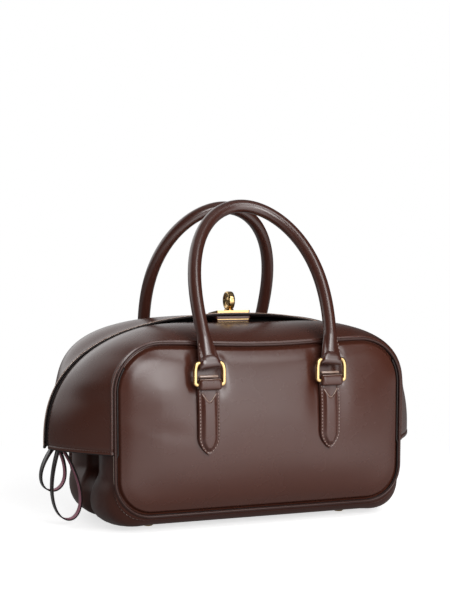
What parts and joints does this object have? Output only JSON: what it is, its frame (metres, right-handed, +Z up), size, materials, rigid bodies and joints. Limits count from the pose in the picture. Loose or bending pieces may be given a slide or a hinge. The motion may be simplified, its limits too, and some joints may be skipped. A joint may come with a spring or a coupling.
{
  "type": "tote bag",
  "caption": "Structured leather handbag with crowned piped panels, domed top with overhanging ends, turn lock, upright rolled handles on swinging rings, base feet and zip pull loops.",
  "frame": {"origin": "on the floor under the middle of the bag, bottom centre of its box", "axes": "+Z up, +X along the bag to the right seen from the front, -Y towards the front panel"},
  "size_m": [0.3897, 0.197, 0.3111],
  "materials": {
    "base_board": "stiff board, matt",
    "body_gusset": "smooth polished calf, dark brown",
    "front_handle": "rolled smooth leather, glossy",
    "front_left_chape": "smooth polished calf, dark brown",
    "front_left_foot": "polished, pale gold",
    "front_left_ring": "polished, pale gold",
    "front_panel": "smooth polished calf, dark brown",
    "front_piping": "rolled leather, dark brown, semi-gloss",
    "front_right_chape": "smooth polished calf, dark brown",
    "front_right_foot": "polished, pale gold",
    "front_right_ring": "polished, pale gold",
    "front_top_panel": "smooth polished calf, dark brown",
    "front_zip_facing": "woven tape, matt",
    "lock_backing_plate": "polished, pale gold",
    "lock_base": "polished, pale gold",
    "lock_cap": "polished, pale gold",
    "lock_knob": "polished, pale gold",
    "long_pull_loop": "nearly black outside, pink inside",
    "pull_ring": "polished, pale gold",
    "rear_handle": "rolled smooth leather, glossy",
    "rear_left_chape": "smooth polished calf, dark brown",
    "rear_left_foot": "polished, pale gold",
    "rear_left_ring": "polished, pale gold",
    "rear_panel": "smooth polished calf, dark brown",
    "rear_piping": "rolled leather, dark brown, semi-gloss",
    "rear_right_chape": "smooth polished calf, dark brown",
    "rear_right_foot": "polished, pale gold",
    "rear_right_ring": "polished, pale gold",
    "rear_top_panel": "smooth polished calf, dark brown",
    "rear_zip_facing": "woven tape, matt",
    "short_pull_loop": "nearly black outside, pink inside",
    "zip_chain": "polished, pale gold",
    "zip_slider": "polished, pale gold"
  },
  "bodies": {
    "bag_body": {"base_board": "base_board", "body_gusset": "body_gusset", "front_left_chape": "front_left_chape", "front_left_foot": "front_left_foot", "front_panel": "front_panel", "front_piping": "front_piping", "front_right_chape": "front_right_chape", "front_right_foot": "front_right_foot", "front_top_panel": "front_top_panel", "front_zip_facing": "front_zip_facing", "lock_backing_plate": "lock_backing_plate", "lock_base": "lock_base", "lock_cap": "lock_cap", "rear_left_chape": "rear_left_chape", "rear_left_foot": "rear_left_foot", "rear_panel": "rear_panel", "rear_piping": "rear_piping", "rear_right_chape": "rear_right_chape", "rear_right_foot": "rear_right_foot", "rear_top_panel": "rear_top_panel", "rear_zip_facing": "rear_zip_facing", "zip_chain": "zip_chain", "zip_slider": "zip_slider"},
    "front_left_ring_body": {"front_left_ring": "front_left_ring"},
    "front_right_ring_body": {"front_right_ring": "front_right_ring"},
    "front_handle_body": {"front_handle": "front_handle"},
    "rear_left_ring_body": {"rear_left_ring": "rear_left_ring"},
    "rear_right_ring_body": {"rear_right_ring": "rear_right_ring"},
    "rear_handle_body": {"rear_handle": "rear_handle"},
    "lock_knob_body": {"lock_knob": "lock_knob"},
    "pull_ring_body": {"pull_ring": "pull_ring"},
    "short_pull_loop_body": {"short_pull_loop": "short_pull_loop"},
    "long_pull_loop_body": {"long_pull_loop": "long_pull_loop"}
  },
  "joints": [
    {"name": "front_left_ring_swing", "type": "hinge", "parent": "bag_body", "child": "front_left_ring_body", "pos_m": [-0.0622, -0.09347, 0.1394], "axis": [1, 0, 0], "range_deg": [0, 60]},
    {"name": "front_right_ring_swing", "type": "hinge", "parent": "bag_body", "child": "front_right_ring_body", "pos_m": [0.0622, -0.09347, 0.1394], "axis": [1, 0, 0], "range_deg": [0, 60]},
    {"name": "front_handle_swing", "type": "hinge", "parent": "front_left_ring_body", "child": "front_handle_body", "pos_m": [-0.0622, -0.09347, 0.1592], "axis": [1, 0, 0], "range_deg": [0, 90]},
    {"name": "rear_left_ring_swing", "type": "hinge", "parent": "bag_body", "child": "rear_left_ring_body", "pos_m": [-0.0622, 0.09347, 0.1394], "axis": [-1, 0, 0], "range_deg": [0, 60]},
    {"name": "rear_right_ring_swing", "type": "hinge", "parent": "bag_body", "child": "rear_right_ring_body", "pos_m": [0.0622, 0.09347, 0.1394], "axis": [-1, 0, 0], "range_deg": [0, 60]},
    {"name": "rear_handle_swing", "type": "hinge", "parent": "rear_left_ring_body", "child": "rear_handle_body", "pos_m": [-0.0622, 0.09347, 0.1592], "axis": [-1, 0, 0], "range_deg": [0, 90]},
    {"name": "lock_knob_turn", "type": "hinge", "parent": "bag_body", "child": "lock_knob_body", "pos_m": [0, 0.011, 0.21267], "axis": [0, 0, 1], "range_deg": [0, 90]},
    {"name": "pull_ring_swing", "type": "hinge", "parent": "bag_body", "child": "pull_ring_body", "pos_m": [-0.1807, 0, 0.09], "axis": [0, 1, 0], "range_deg": [-3, 3]},
    {"name": "short_loop_swing", "type": "hinge", "parent": "pull_ring_body", "child": "short_pull_loop_body", "pos_m": [-0.1807, 0, 0.0815], "axis": [0, 1, 0], "range_deg": [-30, 3]},
    {"name": "long_loop_swing", "type": "hinge", "parent": "pull_ring_body", "child": "long_pull_loop_body", "pos_m": [-0.1807, 0, 0.0815], "axis": [0, 1, 0], "range_deg": [-2, 20]}
  ],
  "couplings": [
    {"joint": "front_right_ring_swing", "follows": "front_left_ring_swing", "ratio": 1},
    {"joint": "rear_right_ring_swing", "follows": "rear_left_ring_swing", "ratio": 1}
  ]
}
